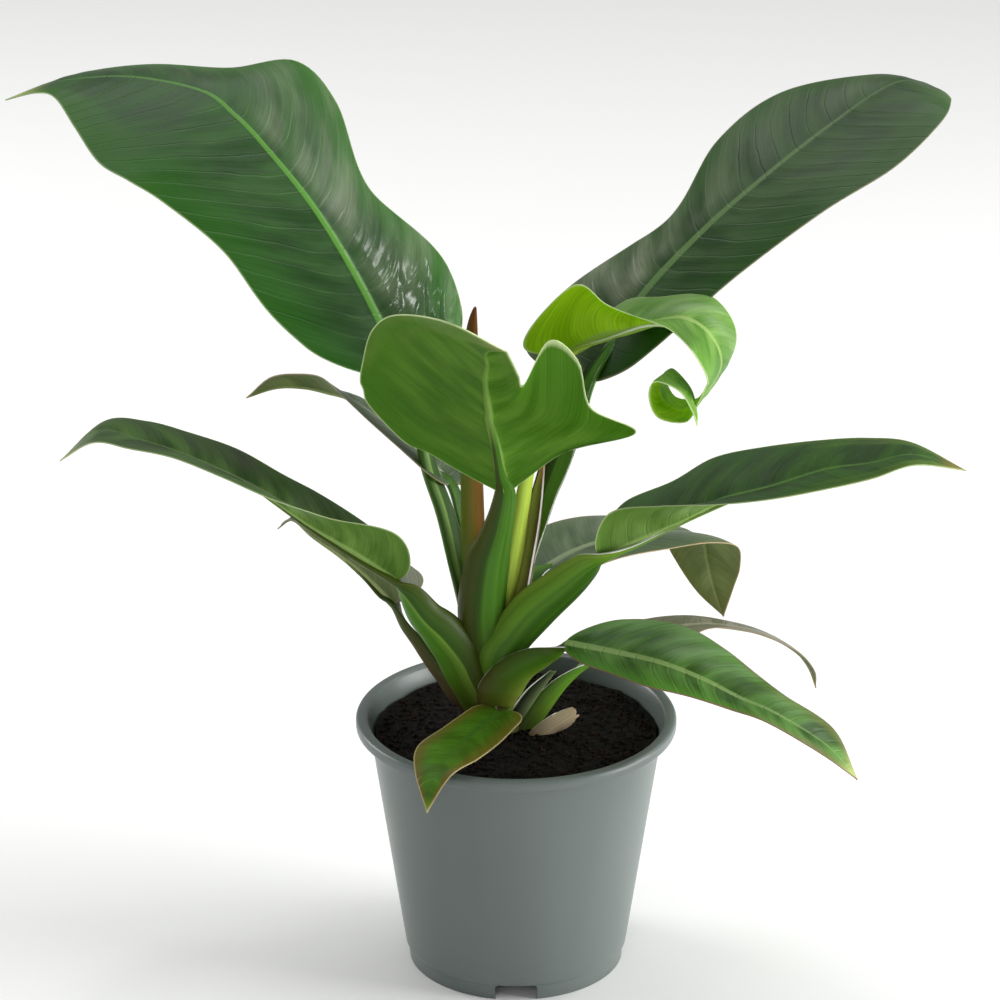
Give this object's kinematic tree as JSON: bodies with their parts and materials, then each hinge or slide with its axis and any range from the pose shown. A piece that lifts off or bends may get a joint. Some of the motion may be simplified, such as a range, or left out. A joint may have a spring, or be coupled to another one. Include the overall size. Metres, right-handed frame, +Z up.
{
  "type": "potted philodendron",
  "caption": "Young self-heading philodendron with long undivided oblong leaves on channelled stalks, in a round tapered nursery pot with a rolled rim and notched foot.",
  "frame": {"origin": "middle of the whole outline seen from above, at the level that the pot's foot stands on; the pot's axis stands 20.5 mm towards +X and 5.5 mm towards -Y of it", "axes": "+Z up, +Y from the front leaf towards the back, +X to the plant's right as seen from the front"},
  "size_m": [0.5034, 0.2966, 0.4577],
  "materials": {
    "pot_plastic": "satin blue-grey moulded plastic",
    "potting_soil": "dark moist peat",
    "stem_skin": "dull olive brown",
    "spike_skin": "reddish brown sheath, green below",
    "leaf_green": "glossy mid green leaf",
    "leaf_lime": "glossy young lime leaf",
    "leaf_dark": "glossy dark green leaf",
    "leaf_grey": "grey-green leaf with a purplish cast",
    "dry_sheath": "papery tan",
    "dark_sheath": "dark leathery sheath with a pale edge"
  },
  "bodies": {
    "root": {"pot": "pot_plastic", "soil": "potting_soil", "stem": "stem_skin", "new_leaf_spike": "spike_skin", "leaf_front": "leaf_green", "leaf_young": "leaf_lime", "leaf_upper_left": "leaf_dark", "leaf_upper_right": "leaf_dark", "leaf_back_left": "leaf_grey", "leaf_back_right": "leaf_grey", "leaf_mid_right": "leaf_green", "leaf_mid_left": "leaf_green", "leaf_under_left": "leaf_grey", "leaf_low_right": "leaf_green", "leaf_low_back": "leaf_grey", "leaf_small_front": "leaf_green", "sheath_withered": "dry_sheath", "sheath_dark": "dark_sheath", "sheath_torn": "dry_sheath"}
  },
  "joints": []
}
